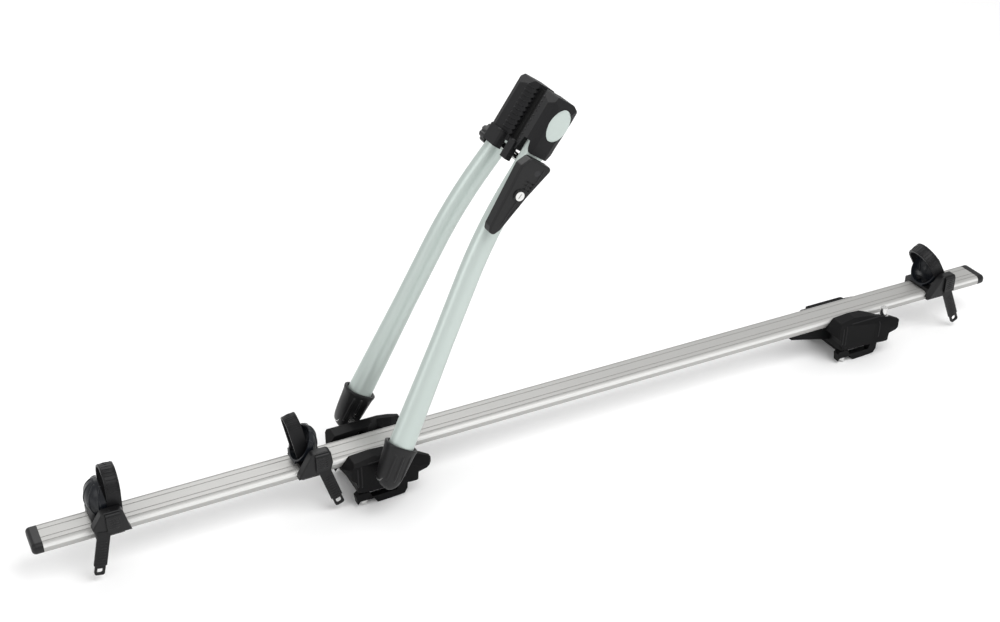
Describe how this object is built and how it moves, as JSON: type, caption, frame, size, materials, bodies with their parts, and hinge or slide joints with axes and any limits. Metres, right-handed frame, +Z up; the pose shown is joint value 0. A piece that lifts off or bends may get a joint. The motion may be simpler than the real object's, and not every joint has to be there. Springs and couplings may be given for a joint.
{
  "type": "roof mounted bike carrier",
  "caption": "Roof rail bike carrier: a long grooved rail on crossbar clamps, folding twin arms with a lever-clamped frame head, and strapped wheel holders.",
  "frame": {"origin": "middle of the front crossbar seat, on the underside of the front foot's rubber sole", "axes": "+X along the rail towards the rear wheel, +Z up, -Y the near side with the lever and the buckles"},
  "size_m": [1.488, 0.1828, 0.5236],
  "materials": {
    "rail_metal": "light grey anodised, satin, fine extrusion lines",
    "arm_metal": "pale silver satin with a slight green-grey tint",
    "rubber": "dull black",
    "strap_rubber": "black flexible strap, slight sheen",
    "bright_steel": "bright zinc",
    "dark_steel": "black oxide",
    "head_plastic": "dark grey, finely grained",
    "cast_black": "black powder coat, satin",
    "black_plastic": "black satin"
  },
  "bodies": {
    "root": {"rail": "rail_metal", "front_end_cap": "black_plastic", "rear_end_cap": "black_plastic", "front_foot_base": "cast_black", "front_sole_pad": "rubber", "front_near_cover": "black_plastic", "front_far_cover": "black_plastic", "front_rail_bolts": "bright_steel", "front_t_nuts": "bright_steel", "near_pivot_pin": "bright_steel", "far_pivot_pin": "bright_steel"},
    "front_clamp": {"front_clamp_yoke": "cast_black", "front_clamp_screws": "bright_steel"},
    "rear_foot": {"rear_foot_base": "cast_black", "rear_sole_pad": "rubber", "rear_near_cover": "black_plastic", "rear_far_cover": "black_plastic", "rear_rail_bolts": "bright_steel", "rear_t_nuts": "bright_steel", "rear_top_bolt": "dark_steel"},
    "rear_clamp": {"rear_clamp_yoke": "cast_black", "rear_clamp_screws": "bright_steel"},
    "arm_pivot": {"near_trunnion": "bright_steel", "far_trunnion": "bright_steel"},
    "near_arm": {"near_arm_tube": "arm_metal", "near_boot": "black_plastic", "near_boot_screw": "bright_steel", "near_jaw": "head_plastic", "near_pad": "rubber", "lever_bush": "bright_steel"},
    "far_arm": {"far_arm_tube": "arm_metal", "far_boot": "black_plastic", "far_boot_screw": "bright_steel", "far_jaw": "head_plastic", "far_pad": "rubber", "cross_rod": "bright_steel"},
    "lever": {"clamp_lever": "black_plastic", "lever_screw": "bright_steel", "lock_housing": "bright_steel"},
    "lock": {"lock_barrel": "bright_steel"},
    "adjuster": {"adjuster_knob": "black_plastic"},
    "front_holder": {"front_saddle": "black_plastic", "front_wheel_cup": "black_plastic", "front_strap": "strap_rubber", "front_buckle": "black_plastic", "front_cup_screws": "bright_steel"},
    "front_release": {"front_strap_release": "black_plastic"},
    "middle_holder": {"middle_saddle": "black_plastic", "middle_wheel_cup": "black_plastic", "middle_strap": "strap_rubber", "middle_buckle": "black_plastic", "middle_cup_screws": "bright_steel"},
    "middle_release": {"middle_strap_release": "black_plastic"},
    "rear_holder": {"rear_saddle": "black_plastic", "rear_wheel_cup": "black_plastic", "rear_strap": "strap_rubber", "rear_buckle": "black_plastic", "rear_cup_screws": "bright_steel"},
    "rear_release": {"rear_strap_release": "black_plastic"}
  },
  "joints": [
    {"name": "arm_fold", "type": "hinge", "parent": "root", "child": "arm_pivot", "pos_m": [0, 0, 0.038], "axis": [0, 1, 0], "range_deg": [-30, 45]},
    {"name": "near_spread", "type": "hinge", "parent": "arm_pivot", "child": "near_arm", "pos_m": [0, -0.0745, 0.038], "axis": [0.8918, 0, -0.4524], "range_deg": [0, 2.5]},
    {"name": "far_spread", "type": "hinge", "parent": "arm_pivot", "child": "far_arm", "pos_m": [0, 0.0745, 0.038], "axis": [-0.8918, 0, 0.4524], "range_deg": [0, 2.5]},
    {"name": "lever_swing", "type": "hinge", "parent": "near_arm", "child": "lever", "pos_m": [0.211, -0.0645, 0.42], "axis": [0, 1, 0], "range_deg": [0, 100]},
    {"name": "lock_turn", "type": "hinge", "parent": "lever", "child": "lock", "pos_m": [0.18613, -0.07, 0.39629], "axis": [0, -1, 0], "range_deg": [0, 90]},
    {"name": "adjuster_turn", "type": "hinge", "parent": "far_arm", "child": "adjuster", "pos_m": [0.211, 0.064, 0.42], "axis": [0, 1, 0], "range_deg": [-180, 180]},
    {"name": "front_clamp_lower", "type": "slide", "parent": "root", "child": "front_clamp", "axis": [0, 0, -1], "range_m": [0, 0.024]},
    {"name": "rear_foot_slide", "type": "slide", "parent": "root", "child": "rear_foot", "axis": [1, 0, 0], "range_m": [-0.12, 0.02]},
    {"name": "rear_clamp_lower", "type": "slide", "parent": "rear_foot", "child": "rear_clamp", "axis": [0, 0, -1], "range_m": [0, 0.024]},
    {"name": "front_holder_slide", "type": "slide", "parent": "root", "child": "front_holder", "axis": [1, 0, 0], "range_m": [-0.045, 0.09]},
    {"name": "front_release_lift", "type": "hinge", "parent": "front_holder", "child": "front_release", "pos_m": [-0.3465, -0.0384, 0.07], "axis": [-1, 0, 0], "range_deg": [0, 35]},
    {"name": "middle_holder_slide", "type": "slide", "parent": "root", "child": "middle_holder", "axis": [1, 0, 0], "range_m": [-0.06, 0]},
    {"name": "middle_release_lift", "type": "hinge", "parent": "middle_holder", "child": "middle_release", "pos_m": [-0.0775, -0.0384, 0.07], "axis": [-1, 0, 0], "range_deg": [0, 35]},
    {"name": "rear_holder_slide", "type": "slide", "parent": "root", "child": "rear_holder", "axis": [1, 0, 0], "range_m": [-0.04, 0.03]},
    {"name": "rear_release_lift", "type": "hinge", "parent": "rear_holder", "child": "rear_release", "pos_m": [0.9525, -0.0384, 0.07], "axis": [-1, 0, 0], "range_deg": [0, 35]}
  ],
  "couplings": [
    {"joint": "near_spread", "follows": "lever_swing", "ratio": 0.025},
    {"joint": "far_spread", "follows": "lever_swing", "ratio": 0.025}
  ]
}
